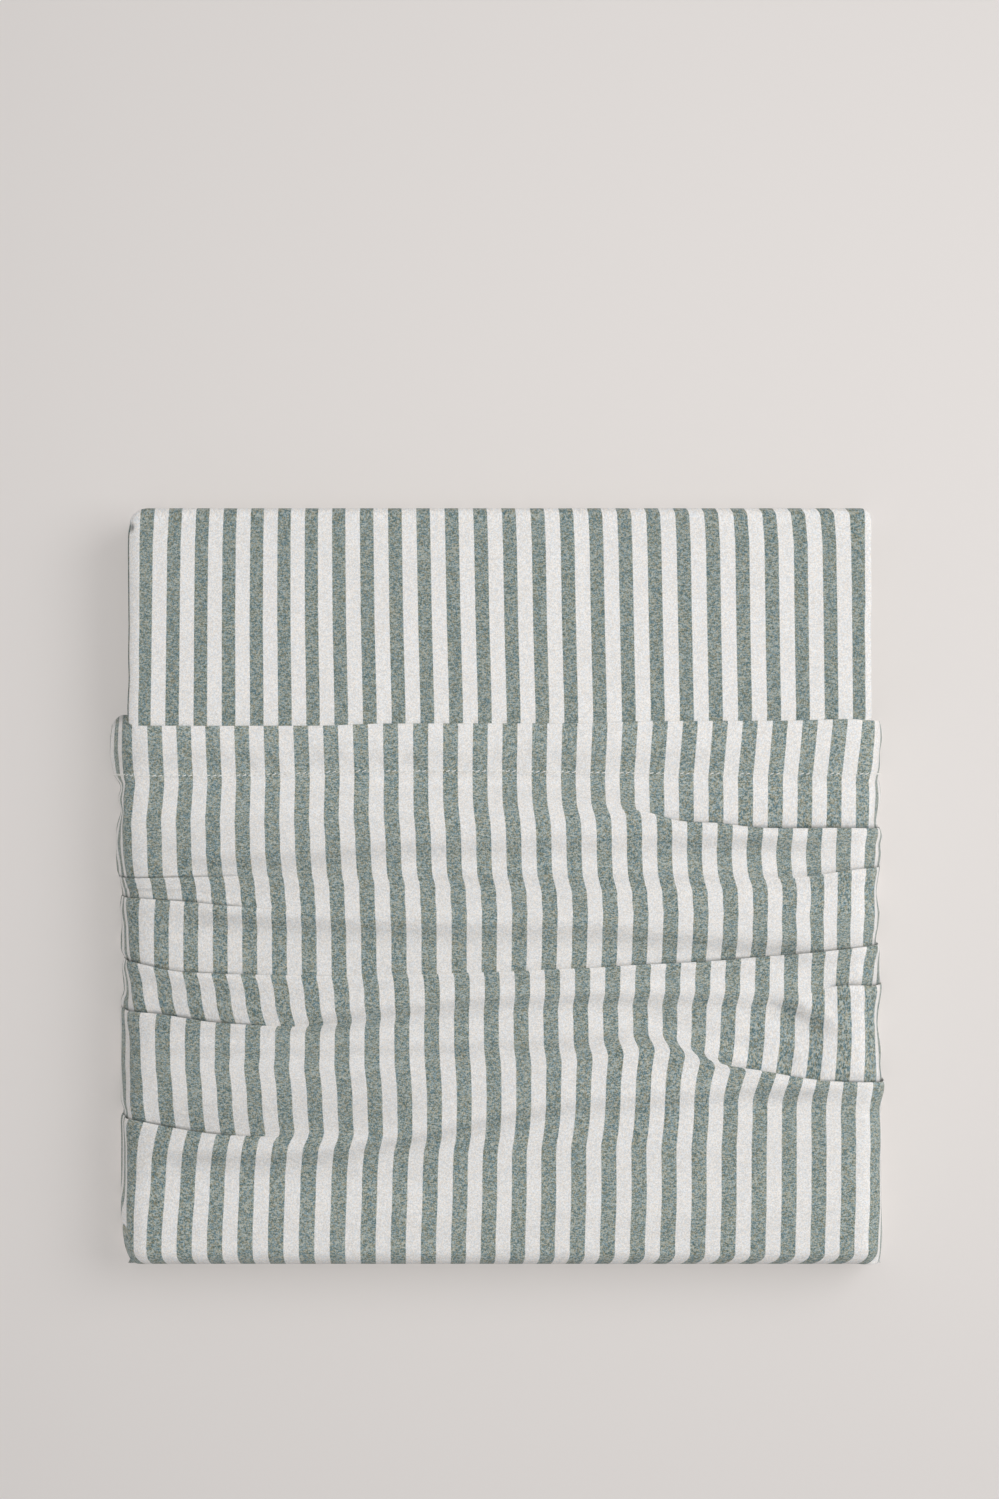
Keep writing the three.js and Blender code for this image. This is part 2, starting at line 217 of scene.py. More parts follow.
# Soft folds where the cloth steps down towards the closed end: a line of points, and how far the
# step reaches either way and drops. A minus drop steps up.
SOFT_FOLDS = [
    {"reach": 3.2, "drop": 0.75, "line": [(-155, 13.5), (-103, 15), (-53, 20), (-3, 21.5),
        (47, 22.5), (122, 22.5), (155, 20)]},
    {"reach": 2.5, "drop": 0.35, "line": [(-60, 3.5), (0, 4.5), (100, 5), (165, 6)]},
    {"reach": 3.5, "drop": 1.05, "line": [(-155, -14), (-103, -18), (-53, -20), (-15, -21.5),
        (47, -22), (97, -26.5), (135, -30), (155, -32)]},
    {"reach": 3.0, "drop": 0.85, "line": [(-103, -70), (-78, -65), (-53, -61.5), (-28, -59.5),
        (-3, -57), (47, -55.5), (110, -56), (135, -57.5),
        (155, -65), (170, -72)]},
    {"reach": 3.0, "drop": 0.55, "line": [(-171, -81.5), (-120, -82.5), (-53, -81), (-3, -78.5),
        (47, -76.5), (67, -72.5)]},
    {"reach": 4.0, "drop": -0.5, "line": [(67, -66.5), (117, -81.5), (137, -91)]},
    {"reach": 9.0, "drop": 0.7, "line": [(-178, -104), (-110, -103), (-38, -101.5)]},
    {"reach": 3.0, "drop": 0.85, "line": [(-168, -135), (-118, -136), (-95, -134.5), (-73, -131.5),
        (-53, -127.5), (-28, -122.5), (-8, -117.5), (12, -112.5),
        (35, -109.5), (85, -105), (122, -103), (165, -102)]},
    {"reach": 9.0, "drop": 0.5, "line": [(-178, 28), (-110, 26), (-60, 30)]},
    {"reach": 8.0, "drop": 0.7, "line": [(-172, -55), (-125, -58), (-83, -60)]},
    {"reach": 5.0, "drop": 1.0, "line": [(130, -50), (141, -56), (152, -64), (163, -74)]},
]

# Soft hollows in the top panel: how far each reaches across and along, its depth and its shade
HOLLOWS = [
    {"x": 82.0, "y": -22.0, "across": 30.0, "along": 10.0, "depth": 0.2, "shade": 0.07},
    {"x": 130.0, "y": -25.0, "across": 20.0, "along": 8.0, "depth": 0.2, "shade": 0.08},
    {"x": 143.5, "y": -29.5, "across": 6.0, "along": 4.0, "depth": 1.0, "shade": 0.14},
    {"x": 143.0, "y": -60.0, "across": 5.5, "along": 7.0, "depth": 0.8, "shade": 0.13},
    {"x": 152.0, "y": -63.0, "across": 5.5, "along": 4.5, "depth": 0.5, "shade": 0.12},
    {"x": 160.0, "y": -69.0, "across": 4.5, "along": 5.5, "depth": 0.8, "shade": 0.12},
    {"x": 144.0, "y": -87.5, "across": 5.0, "along": 4.0, "depth": 0.9, "shade": 0.10},
    {"x": 158.0, "y": -90.0, "across": 4.0, "along": 6.0, "depth": 0.9, "shade": 0.10},
]

# How far the rumpled cloth of the top panel lies in its own shade, across the pack, and the shade
# of a millimetre's depth in a soft fold
RUMPLED = [(-190, 0.13), (-160, 0.12), (-100, 0.10), (-40, 0.085), (20, 0.06), (80, 0.03), (165, 0.0)]
RELIEF_SHADE = 0.10

# The sleeve's outline as it is seen from straight above, along Y
LEFT_OUTLINE = [
    (84, -194.6), (79, -195.3), (68, -195.3), (54, -192.9), (50.5, -189.7), (44, -191.6),
    (37.5, -189.8), (30.5, -192.2), (14, -192.6), (5.5, -192), (4, -190.6), (-5.5, -189.5),
    (-11.5, -190.5), (-21, -189.5), (-25, -190.2), (-34, -190.3), (-37.5, -187.5), (-41, -189.5),
    (-55, -188.5), (-58, -190.3), (-111, -190.2), (-114.5, -188.3), (-118, -190), (-169, -190.1),
    (-177, -189.3), (-184, -188.3), (-189, -187.6)]
RIGHT_OUTLINE = [
    (83, 189), (79, 190.3), (73, 190.4), (68, 189), (59, 189.4), (55, 188.6), (48.5, 190),
    (44, 190.2), (32, 187.8), (25, 190.9), (21, 189.8), (15.5, 190.6), (5, 188.8), (-4, 187.7),
    (-14, 189.8), (-28, 187.7), (-34, 189.4), (-52, 190.2), (-70, 188.5), (-83.5, 190.6),
    (-91, 189.8), (-99, 190.9), (-116, 189.8), (-160, 190.2), (-176, 191), (-189, 190.3)]

# How far the stripes at the foot of each side wall run out of line with the top's, along Y
LEFT_SLANT = [
    (80, 0), (55, 4), (50, -5), (42, 7), (33, -4), (22, 8), (8, -6), (2, 5), (-6, -5), (-14, 6),
    (-30, -4), (-38, 5), (-50, -3), (-60, 5), (-90, 9), (-112, 2), (-118, -5), (-150, -3),
    (-162, 11), (-176, 24), (-190, 27)]
RIGHT_SLANT = [
    (80, 0), (62, -5), (50, 7), (38, -4), (27, 5), (20, -3), (-2, 4), (-22, -6), (-32, 3),
    (-52, -5), (-70, 3), (-92, -4), (-110, 0), (-190, 4)]

# Where the hem's edge and its stitches lie across the top panel
MOUTH_LINE = [(-190, 80), (-86, 80), (-60, 81.1), (50, 81.3), (70, 82.3), (150, 82.6), (176, 83.5),
              (190, 82.5)]
STITCH_LINE = [(-190, 54.3), (-136, 54.3), (-100, 55.5), (-75, 56.7), (0, 56.7), (60, 55.8),
               (100, 55.3), (190, 55.2)]
PUCKER_HEIGHT = 0.68

# Rows of the hem, from the turned-in layer's end to the mouth, round it and back to the stitches
HEM_UNDER_ROWS, HEM_EDGE_ROWS, HEM_TOP_ROWS = 6, 5, 20
HEM_ROWS = HEM_UNDER_ROWS + HEM_EDGE_ROWS + HEM_TOP_ROWS
STITCH_ROW = HEM_ROWS - 2
HEM_LIFT = 1.3
HEM_PUFF = 0.5

# One stitch of the thread: share of the pitch, height over the cloth and how far it slants
STITCH_PITCH = 3.0
THREAD_RADIUS = 0.26
THREAD_SIDES = 5
STITCH_SHAPE = [
    {"phase": 0.0, "high": -0.8, "slant": 0.0},
    {"phase": 0.17, "high": -0.6, "slant": -0.34},
    {"phase": 0.24, "high": 0.2, "slant": -0.3},
    {"phase": 0.52, "high": 0.36, "slant": 0.0},
    {"phase": 0.8, "high": 0.2, "slant": 0.3},
    {"phase": 0.87, "high": -0.6, "slant": 0.34},
]

# The side walls: where the top panel turns down, as (y, x, radius), how far it has sunk by then,
# and the cloth's length to the floor
LEFT_TURN = [(84, -177.5, 9.5), (60, -178, 9), (50, -179.5, 8.5), (30, -179.5, 8.5), (0, -177.5, 8.5),
             (-40, -176.3, 8.5), (-60, -176, 8.5), (-106, -177, 8.5), (-146, -177.4, 8.5),
             (-190, -178, 8)]
RIGHT_TURN = [(84, 177, 11), (62, 177.5, 10), (44, 176, 8.5), (30, 177, 8.5), (18, 178, 8.5),
              (-7, 178, 8.5), (-57, 177, 8.5), (-86, 178, 8.5), (-98, 180.5, 8.5), (-190, 180.5, 8.5)]
LEFT_TURN_X, RIGHT_TURN_X = -182.0, 183.0
LEFT_SINK, RIGHT_SINK = 0.5, 0.9
SHOULDER = 15.0
WALL_LENGTH = 46.0
FLOOR_HALF = 186.0
LEFT_WIDEST, RIGHT_WIDEST = 36.0, 26.0
CAMERA_DISTANCE = 1800.0

# Points of a side wall's section: round the turn, down the straight part and round to the floor
TURN_POINTS, STRAIGHT_POINTS, UNDER_POINTS = 10, 22, 8
SKIRT_START = 1.5

# Columns of the sleeve's cloth on either half: over the top panel, past its turn as far as
# TURN_BAND, down the wall, and under the pack
TOP_COLUMNS, TURN_COLUMNS, WALL_COLUMNS, UNDER_COLUMNS = 96, 7, 17, 6
TURN_BAND = 8.0

# The closed end's lower half: rows, the height that it meets the lower panel at, and its bulge
END_FACE_ROWS = 6
END_SEAM_Z = 20.0
END_BULGE = 1.2

# The closed end.s roll at the foot of each wall, the reach of the hem.s loose end, and where past
# the turn a row takes its outline
LEFT_END_ROLL, RIGHT_END_ROLL = 0.3, 0.12
LOOSE_HEM = 5.5
WALL_SAMPLE = 15


def wall_profile(turn_x, radius, outline_x):
    """The side wall's section from the top panel's edge down to the floor: x and z, and the share
    of the way along it. outline_x is where it shows outermost to a camera above."""
    side = math.copysign(1.0, turn_x)
    widest_depth = LEFT_WIDEST if side < 0 else RIGHT_WIDEST
    height = SLEEVE_TOP_Z - SLEEVE_FLOOR_Z
    turn = np.linspace(0, math.pi / 2, TURN_POINTS)
    straight = np.linspace(radius, height - LOWER_RADIUS, STRAIGHT_POINTS)[1:-1]
    under = np.linspace(0, math.pi / 2, UNDER_POINTS)
    depth = np.concatenate([radius * (1 - np.cos(turn)), straight,
                            height - LOWER_RADIUS + LOWER_RADIUS * np.sin(under)])
    out = np.concatenate([radius * np.sin(turn), np.full(len(straight), radius),
                          radius - LOWER_RADIUS * (1 - np.cos(under))])
    widest = abs(outline_x) * (1 + widest_depth / CAMERA_DISTANCE)
    skirt = widest - (abs(turn_x) + radius)
    lean_out = np.clip((depth - SKIRT_START) / (widest_depth - SKIRT_START), 0, 1)
    out = out + skirt * (0.65 * lean_out + 0.35 * smoothstep(0, 1, lean_out))
    out = out - 0.45 * skirt * smoothstep(widest_depth, height, depth)
    x = turn_x + side * out
    z = SLEEVE_TOP_Z - depth
    run = np.concatenate([[0], np.cumsum(np.hypot(np.diff(x), np.diff(z)))])
    return x, z, run / run[-1]


def wall_at(turns, outline, y):
    """Where the top panel turns down at y, and the side wall's profile there."""
    ys, turn_xs, radii = zip(*sorted(turns))
    turn_x = soft_line(ys, turn_xs, y, blur=3.0)
    radius = soft_line(ys, radii, y, blur=3.0)
    return turn_x, wall_profile(turn_x, radius, soft_curve(outline, y, blur=1.2))


def sleeve_section(place, left_y, right_y):
    """Positions and outward directions round the sleeve's plain section. place counts from the
    middle of the top panel, positive to the right, and runs on down the wall and under the pack."""
    left_turn, (left_x, left_z, left_run) = wall_at(LEFT_TURN, LEFT_OUTLINE, left_y)
    right_turn, (right_x, right_z, right_run) = wall_at(RIGHT_TURN, RIGHT_OUTLINE, right_y)
    left_foot, right_foot = LEFT_TURN_X - WALL_LENGTH, RIGHT_TURN_X + WALL_LENGTH
    knots = np.concatenate([[left_foot - FLOOR_HALF],
                            (left_turn + (left_foot - left_turn) * left_run)[::-1],
                            right_turn + (right_foot - right_turn) * right_run,
                            [right_foot + FLOOR_HALF]])
    xs = np.concatenate([[0], left_x[::-1], right_x, [0]])
    zs = np.concatenate([[left_z[-1]], left_z[::-1], right_z, [right_z[-1]]])
    slope_x, slope_z = np.gradient(xs, knots), np.gradient(zs, knots)
    length = np.hypot(slope_x, slope_z)
    x, z = np.interp(place, knots, xs), np.interp(place, knots, zs)
    out_x = np.interp(place, knots, -slope_z / length)
    out_z = np.interp(place, knots, slope_x / length)
    return x, z, out_x, out_z


def sleeve_columns():
    """Places round the section, close together where folds show, wide apart under the pack."""
    def half(turn_x):
        foot = turn_x + WALL_LENGTH
        return np.concatenate([
            np.linspace(0, turn_x, TOP_COLUMNS, endpoint=False),
            np.linspace(turn_x, turn_x + TURN_BAND, TURN_COLUMNS, endpoint=False),
            np.linspace(turn_x + TURN_BAND, foot, WALL_COLUMNS, endpoint=False),
            np.linspace(foot, foot + FLOOR_HALF, UNDER_COLUMNS),
        ])
    return np.concatenate([-half(-LEFT_TURN_X)[:0:-1], half(RIGHT_TURN_X)])


def lean_row(values, x):
    return soft_line(ACROSS, values, x, blur=8.0)


def tuck_row(local, reach, tuck, pull):
    """How far a row sits below its tuck's edge, how high, and how much shade is painted on it at the
    crease. local is its place below the edge along the cloth, less what the tuck takes up, and reach
    how far the tuck moves rows."""
    drawn = (tuck["overlap"] + FOLD_TURN) * pull
    swing = np.sin(np.clip(local / FOLD_TURN, -1, 1) * math.pi / 2)
    fade = 1 - smoothstep(0.15, 1.0, np.abs(local) / reach)
    down = local - drawn * (swing - 0.55) * fade
    rise = smoothstep(-1.4 * FOLD_TURN, 1.4 * FOLD_TURN, local)
    pillow = 1 - 0.35 * np.exp(-np.maximum(local - FOLD_TURN, 0) / 1.5)
    settle = 1 - smoothstep(0.1, 1.0, np.maximum(local, 0) / reach)
    lift = tuck["height"] * rise * pillow * settle
    dip = tuck["dip"] * np.exp(-(np.minimum(local + FOLD_TURN, 0) / 5.5) ** 2) * (1 - rise)
    # Painted contact shade: a dark line where the upper cloth runs under the fold's edge, and more shade
    # painted on the upper cloth just above it
    painted_shade = smoothstep(-1.5, 0.2, down) * (1 - smoothstep(0.0, 0.8 * FOLD_TURN, local))
    painted_shade = painted_shade * (0.12 * pull + 0.88 * smoothstep(0.55, 1.0, pull))
    shade = TUCK_SHADE * pull * np.exp(-(np.minimum(down + 1.0, 0) / 3.0) ** 2) * (1 - rise)
    return down, (lift - dip) * pull, np.maximum(painted_shade, shade)


def cloth_row(x, y, lift, lean, painted_shade=0.0):
    base = np.zeros_like(x)
    return [base + y, base + lift, base + lean, base + painted_shade]


def hem_rows(x, mouth, stitches, left_wall):
    """The hem: its turned-in layer up to the mouth, round the edge, and its top layer back down."""
    mouth_lean, stitch_lean = lean_row(LEAN_AT_MOUTH, x), lean_row(LEAN_AT_STITCHES, x)
    # Shade painted on the hem's rolled edge and the top of its outer layer, where it loops over on the left
    # wall
    dark = 0.6 * left_wall
    rows = []
    for share in np.linspace(0, 1, HEM_UNDER_ROWS):
        y = stitches + 1 + (mouth - stitches - 1) * share
        rows.append(cloth_row(x, y, 0.0, stitch_lean + (mouth_lean - stitch_lean) * share))
    for angle in np.radians(np.linspace(-60, 60, HEM_EDGE_ROWS)):
        y = mouth + 0.5 * HEM_LIFT * math.cos(angle)
        rows.append(cloth_row(x, y, 0.5 * HEM_LIFT * (1 + math.sin(angle)), mouth_lean, dark))
    for share in np.linspace(0.02, 1, HEM_TOP_ROWS):
        y = mouth + (stitches - mouth) * share
        lift = HEM_LIFT * (1 - 0.35 * smoothstep(0.9, 1.0, share)) + HEM_PUFF * math.sin(math.pi * share)
        lean = mouth_lean + (stitch_lean - mouth_lean) * share
        rows.append(cloth_row(x, y, lift, lean, dark * (1 - smoothstep(0.0, 0.16, share))))
    return rows


def tuck_rows(x, start_y):
    """The cloth from the stitches past every tuck, with the Y and the lean that it ends at."""
    edges, pulls = [], []
    for index, tuck in enumerate(TUCKS):
        places, ys, amounts = zip(*tuck["line"])
        edges.append(soft_line(places, ys, x) + 0.35 * soft_noise(x, 0 * x + index, 21, 1, 23))
        pulls.append(soft_line(places, amounts, x))
    middles = [(edge + following) / 2 for edge, following in zip(edges, edges[1:])]
    rows = []
    upper, previous_lean = start_y, lean_row(LEAN_AT_STITCHES, x)
    for tuck, lean_facts, edge, pull, lower in zip(TUCKS, LEAN, edges, pulls,
                                                   [*middles, edges[-1] - LAST_TUCK_REACH]):
        above, below, between = (lean_row(lean_facts[key], x) for key in ("above", "below", "between"))
        swap_width = 1.0 + 4.5 * (1 - pull)
        for step in np.linspace(-1, 1, ROWS_PER_TUCK + 1)[1:]:
            gap = (upper - edge) if step < 0 else (edge - lower)
            local = np.sign(step) * gap * abs(step) ** 2.1
            down, lift, painted_shade = tuck_row(local, np.minimum(gap, TUCK_REACH), tuck, pull)
            away = smoothstep(0, 1, abs(step) ** 1.4)
            upper_lean = above + (previous_lean - above) * (away if step < 0 else 0)
            lower_lean = below + (between - below) * (away if step > 0 else 0)
            lean = upper_lean + (lower_lean - upper_lean) * smoothstep(-swap_width, swap_width, local)
            rows.append(cloth_row(x, edge - down, lift, lean, painted_shade))
        upper, previous_lean = lower, between
    return rows, upper, previous_lean


def closed_end_rows(x, start_y, start_lean):
    """The plain cloth below the last tuck, and the turn down to the closed end."""
    near_end, at_end = lean_row(LEAN_NEAR_END, x), lean_row(LEAN_AT_END, x)
    flat_end = CLOSED_END_Y + END_RADIUS
    rows = []
    for share in np.linspace(0, 1, PLAIN_ROWS + 1)[1:]:
        lean = start_lean + (near_end - start_lean) * smoothstep(0, 1, share)
        rows.append(cloth_row(x, start_y + (flat_end - start_y) * share, 0.0, lean))
    for angle in np.linspace(0, 90, END_TURN_ROWS + 1)[1:]:
        radians = math.radians(angle)
        lift = -END_RADIUS * (1 - math.cos(radians))
        lean = near_end + (at_end - near_end) * smoothstep(20, 90, angle)
        rows.append(cloth_row(x, flat_end - END_RADIUS * math.sin(radians), lift, lean))
    return rows


def sleeve_rows(along):
    """Y, lift, lean and painted shade of every row of the sleeve's cloth, at every place round it."""
    x = np.clip(along, -190, 190)
    past_turn = LEFT_TURN_X - along
    left_wall = smoothstep(1, 7, past_turn) * (1 - smoothstep(12, 44, past_turn))
    under = smoothstep(-LEFT_TURN_X + 26, -LEFT_TURN_X + WALL_LENGTH, np.abs(along))
    mouth = soft_curve(MOUTH_LINE, x) + LOOSE_HEM * left_wall
    mouth = mouth + (MOUTH_Y - mouth) * under
    stitches = soft_curve(STITCH_LINE, x)
    rows = hem_rows(x, mouth, stitches, left_wall)
    below_hem, end_y, end_lean = tuck_rows(x, stitches)
    rows = rows + below_hem + closed_end_rows(x, end_y, end_lean)
    return np.array(rows)


def hollow_share(hollow, x, y):
    away_x, away_y = (x - hollow["x"]) / hollow["across"], (y - hollow["y"]) / hollow["along"]
    return np.exp(-away_x ** 2 - away_y ** 2)


def soft_fold_relief(x, y):
    relief = np.zeros_like(x)
    for fold in SOFT_FOLDS:
        places, ys = zip(*fold["line"])
        past = (soft_line(places, ys, x) - y) / (1.25 * fold["reach"])
        inside = smoothstep(places[0] - 12, places[0] + 14, x)
        inside = inside * (1 - smoothstep(places[-1] - 14, places[-1] + 12, x))
        relief -= 1.3 * fold["drop"] * inside * past * np.exp(0.5 - 0.5 * past ** 2)
    for hollow in HOLLOWS:
        relief -= hollow["depth"] * hollow_share(hollow, x, y)
    return relief


def hem_puckers(x, y):
    """Small slanting puckers that the stitches draw up, strongest left of the middle."""
    near = np.exp(-((y - 62) / 10.0) ** 2)
    where = 0.3 + 0.7 * smoothstep(-150, -110, x) * (1 - smoothstep(20, 60, x))
    slant = soft_noise(x + 0.6 * y, y, 6.0, 16.0, 31) + 0.6 * soft_noise(x - 0.5 * y, y, 4.0, 9.0, 32)
    return PUCKER_HEIGHT * near * where * slant


def wall_slant(place, y):
    """How far the stripes on the side walls run out of line. It grows down the wall from nothing."""
    level = y.copy()
    level[HEM_ROWS:] = np.minimum.accumulate(y[HEM_ROWS:], axis=0)
    left = soft_curve(LEFT_SLANT, level, blur=2.5) * smoothstep(6, 34, LEFT_TURN_X - place)
    right = soft_curve(RIGHT_SLANT, level, blur=3.0) * smoothstep(7, 36, place - RIGHT_TURN_X)
    return left + right


def pillow_height(along, x, y):
    crown = 1.2 * (1 - np.abs(along / 188.0) ** 3)
    lumps = 0.35 * soft_noise(x, y, 46, 18, 3)
    small_lumps = 0.18 * soft_noise(x, y, 19, 10, 5)
    return 1.0 + np.maximum(crown, 0) + lumps + small_lumps


def shoulder_sink(along, far, y):
    """How far the top panel has sunk by its side edges."""
    from_turn = np.where(along < 0, along - LEFT_TURN_X, RIGHT_TURN_X - along)
    sink = np.where(along < 0, LEFT_SINK, RIGHT_SINK) * np.clip(1 - from_turn / SHOULDER, 0, 1) ** 2
    return sink * (1 - smoothstep(0, 9, far)) * smoothstep(CLOSED_END_Y + 2, CLOSED_END_Y + 20, y)


def rumpled_shade(x, y, relief):
    rumpled = soft_curve(RUMPLED, x, blur=8.0) * smoothstep(-152, -140, y) * (1 - smoothstep(18, 50, y))
    hollows = sum(hollow["shade"] * hollow_share(hollow, x, y) for hollow in HOLLOWS)
    return rumpled + hollows + RELIEF_SHADE * np.clip(-relief, 0, 1.5)


def stitch_bands(x, y, on_top):
    """The shade above and below the stitches, up to the right-hand third."""
    bands = 0.10 * np.exp(-((y - 64) / 5.5) ** 2) + 0.07 * np.exp(-((y - 47.5) / 4.0) ** 2)
    bands = bands * on_top * (1 - smoothstep(80, 150, x))
    return bands * (np.arange(len(y)) > HEM_ROWS - HEM_TOP_ROWS)[:, None]


def plain_sections(along, place, y):
    """Positions and outward directions of every row, on the sleeve's plain section."""
    left_column = int(np.argmin(np.abs(along - LEFT_TURN_X + WALL_SAMPLE)))
    right_column = int(np.argmin(np.abs(along - RIGHT_TURN_X - WALL_SAMPLE)))
    sections = [sleeve_section(place[index], y[index, left_column], y[index, right_column])
                for index in range(len(y))]
    return (np.array([section[part] for section in sections]) for part in range(4))


def flat_sleeve(along, place, y, points):
    """Each point's place on the flat cloth: round the pack, and along it as the rows' mean run."""
    steps = np.linalg.norm(np.diff(points, axis=0), axis=2)
    run = np.concatenate([np.zeros((1, len(along))), np.cumsum(steps, axis=0)])
    level_run = run[:, np.abs(along) < 170].mean(axis=1, keepdims=True)
    return np.stack([along + wall_slant(place, y), np.broadcast_to(-level_run, run.shape)], axis=2)


def closed_end_face(last_row, last_cloth):
    """The rows that close the end, from the last row to the seam, and their flat places."""
    rows = []
    for share in np.linspace(0, 1, END_FACE_ROWS + 1)[1:]:
        row = last_row.copy()
        row[:, 2] = last_row[:, 2] + (END_SEAM_Z - last_row[:, 2]) * share
        row[:, 1] = last_row[:, 1] - END_BULGE * math.sin(math.pi / 2 * share)
        rows.append(row)
    rows = np.array(rows)
    steps = np.abs(np.diff(np.concatenate([last_row[None, :, 2], rows[:, :, 2]]), axis=0))
    run = last_cloth[:, 1] - np.cumsum(steps, axis=0)
    return rows, np.stack([np.broadcast_to(last_cloth[:, 0], run.shape), run], axis=2)


def make_sleeve():
    """The sleeve's sheet and its stitches. far counts from the turn of the top panel outwards."""
    along = sleeve_columns()
    rows = sleeve_rows(along)
    y, lift, lean, painted_shade = rows[:, 0], rows[:, 1], rows[:, 2], rows[:, 3]
    far = np.maximum(-along + LEFT_TURN_X, along - RIGHT_TURN_X)
    on_top = 1 - smoothstep(4, 30, far)
    off_floor = 1 - smoothstep(WALL_LENGTH - 14, WALL_LENGTH, far)
    place = along[None, :] + lean * (0.3 + 0.7 * on_top) * off_floor
    x, z, out_x, out_z = plain_sections(along, place, y)

    panel = smoothstep(STITCH_Y + 2, STITCH_Y - 10, y) * smoothstep(CLOSED_END_Y + 8, CLOSED_END_Y + 30, y)
    relief = soft_fold_relief(x, y)
    puff = (pillow_height(along, x, y) + relief) * panel + hem_puckers(x, y)
    painted_shade = np.maximum(painted_shade, rumpled_shade(x, y, relief) * panel + stitch_bands(x, y, on_top))
    out = (lift * (0.25 + 0.75 * on_top) + puff * on_top - shoulder_sink(along, far, y)) * off_floor
    wall_roll = np.where(along < 0, LEFT_END_ROLL, RIGHT_END_ROLL)
    roll = 1 - (1 - wall_roll) * smoothstep(2, 16, far)
    out = np.where(y < CLOSED_END_Y + END_RADIUS, np.minimum(lift, 0) * roll, out)
    points = np.stack([x + out_x * out, y, z + out_z * out], axis=2)
    points[:, :, 2] = np.maximum(points[:, :, 2], SLEEVE_FLOOR_Z)

    cloth = flat_sleeve(along, place, y, points)
    end_points, end_cloth = closed_end_face(points[-1], cloth[-1])
    outward = np.stack([out_x[STITCH_ROW], 0 * along, out_z[STITCH_ROW]], axis=1)
    stitches = make_stitches(points[STITCH_ROW], outward)
    points = np.concatenate([points, end_points])
    cloth = np.concatenate([cloth, end_cloth])
    painted_shade = np.concatenate([painted_shade, np.zeros(end_points.shape[:2])])
    return grid_mesh("sleeve_cloth", points, cloth, painted_shade), stitches


def thread_material():
    material, tree = new_material("white_thread")
    shader = tree.nodes["Principled BSDF"]
    place = tree.nodes.new("ShaderNodeTexCoord").outputs["Object"]
    twist = noise(tree, scaled(tree, place, 900.0, 2600.0, 900.0), 1.0)
    link(tree, mix_color(tree, twist, (214, 213, 207), (244, 243, 239)), shader.inputs["Base Color"])
    shader.inputs["Roughness"].default_value = 0.75
    return material


def make_stitches(line, outward):
    """One white thread round the sleeve that shows on the outside and dips through the cloth."""
    steps = np.linalg.norm(np.diff(line, axis=0), axis=1)
    run = np.concatenate([[0], np.cumsum(steps)])
    count = int(run[-1] / STITCH_PITCH)
    phases, highs, slants = (np.array([part[key] for part in STITCH_SHAPE])
                             for key in ("phase", "high", "slant"))
    where = ((np.arange(count)[:, None] + phases) * run[-1] / count).ravel()
    high, slant = np.tile(highs, count), np.tile(slants, count)
    centre = np.stack([np.interp(where, run, line[:, axis]) for axis in range(3)], axis=1)
    out = np.stack([np.interp(where, run, outward[:, axis]) for axis in range(3)], axis=1)
    centre = centre + out * high[:, None]
    centre[:, 1] += slant
    centre[:, 2] = np.maximum(centre[:, 2], THREAD_RADIUS + 0.02)
    along_y = np.array([0.0, 1.0, 0.0])
    rings = []
    for index in range(THREAD_SIDES):
        angle = 2 * math.pi * index / THREAD_SIDES
        rings.append(centre + THREAD_RADIUS * (math.cos(angle) * along_y + math.sin(angle) * out))
    faces = []
    for ring in range(len(centre) - 1):
        start, end = ring * THREAD_SIDES, (ring + 1) * THREAD_SIDES
        for index in range(THREAD_SIDES):
            following = (index + 1) % THREAD_SIDES
            faces.append((start + index, start + following, end + following, end + index))
    thread = smooth_piece("hem_stitches", np.stack(rings, axis=1).reshape(-1, 3), faces)
    thread.data.materials.append(thread_material())
    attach(thread, "root")
    return thread


# The strip's turns from the lowest up: the way that each faces along Y, and how far it reaches.
# The strip starts at STRIP_START and its last pass, on top, ends at STRIP_END.
STRIP_TURNS = [(1, 188.6), (-1, -186.8), (1, 187.4), (-1, -185.2), (1, 190.2)]
STRIP_START, STRIP_END = -178.0, -172.0
SHOWN_FROM, SHOWN_TO = 70.0, 166.0


def strip_line():
    """The folded strip's middle line as rows (y, z, out_y, out_z): out points to its first ply."""
    radius = PASS_PITCH / 2
    outer = radius + PASS_THICKNESS / 2
    first_z = COVER_BASE_Z + PASS_THICKNESS / 2
    line = []
    y = STRIP_START
    for level, (towards, reach) in enumerate(STRIP_TURNS):
        centre = reach - towards * outer
        z = first_z + level * PASS_PITCH
        for share in np.linspace(0, 1, 10, endpoint=False):
            line.append((y + (centre - y) * share, z, 0, -towards))
        for angle in np.radians(np.linspace(-90, 90, 11)):
            line.append((centre + towards * radius * math.cos(angle),
                         z + radius + radius * math.sin(angle),
                         math.cos(angle), math.sin(angle) * towards))
        y = centre
    z = first_z + (PASS_COUNT - 1) * PASS_PITCH
    near_turn = np.linspace(y, SHOWN_TO, 22)[1:]
    shown = np.linspace(SHOWN_TO, SHOWN_FROM, 20)[1:]
    hidden = np.linspace(SHOWN_FROM, STRIP_END, 8)[1:]
    for target in np.concatenate([near_turn, shown, hidden]):
        line.append((target, z, 0, 1))
    return np.array(line)


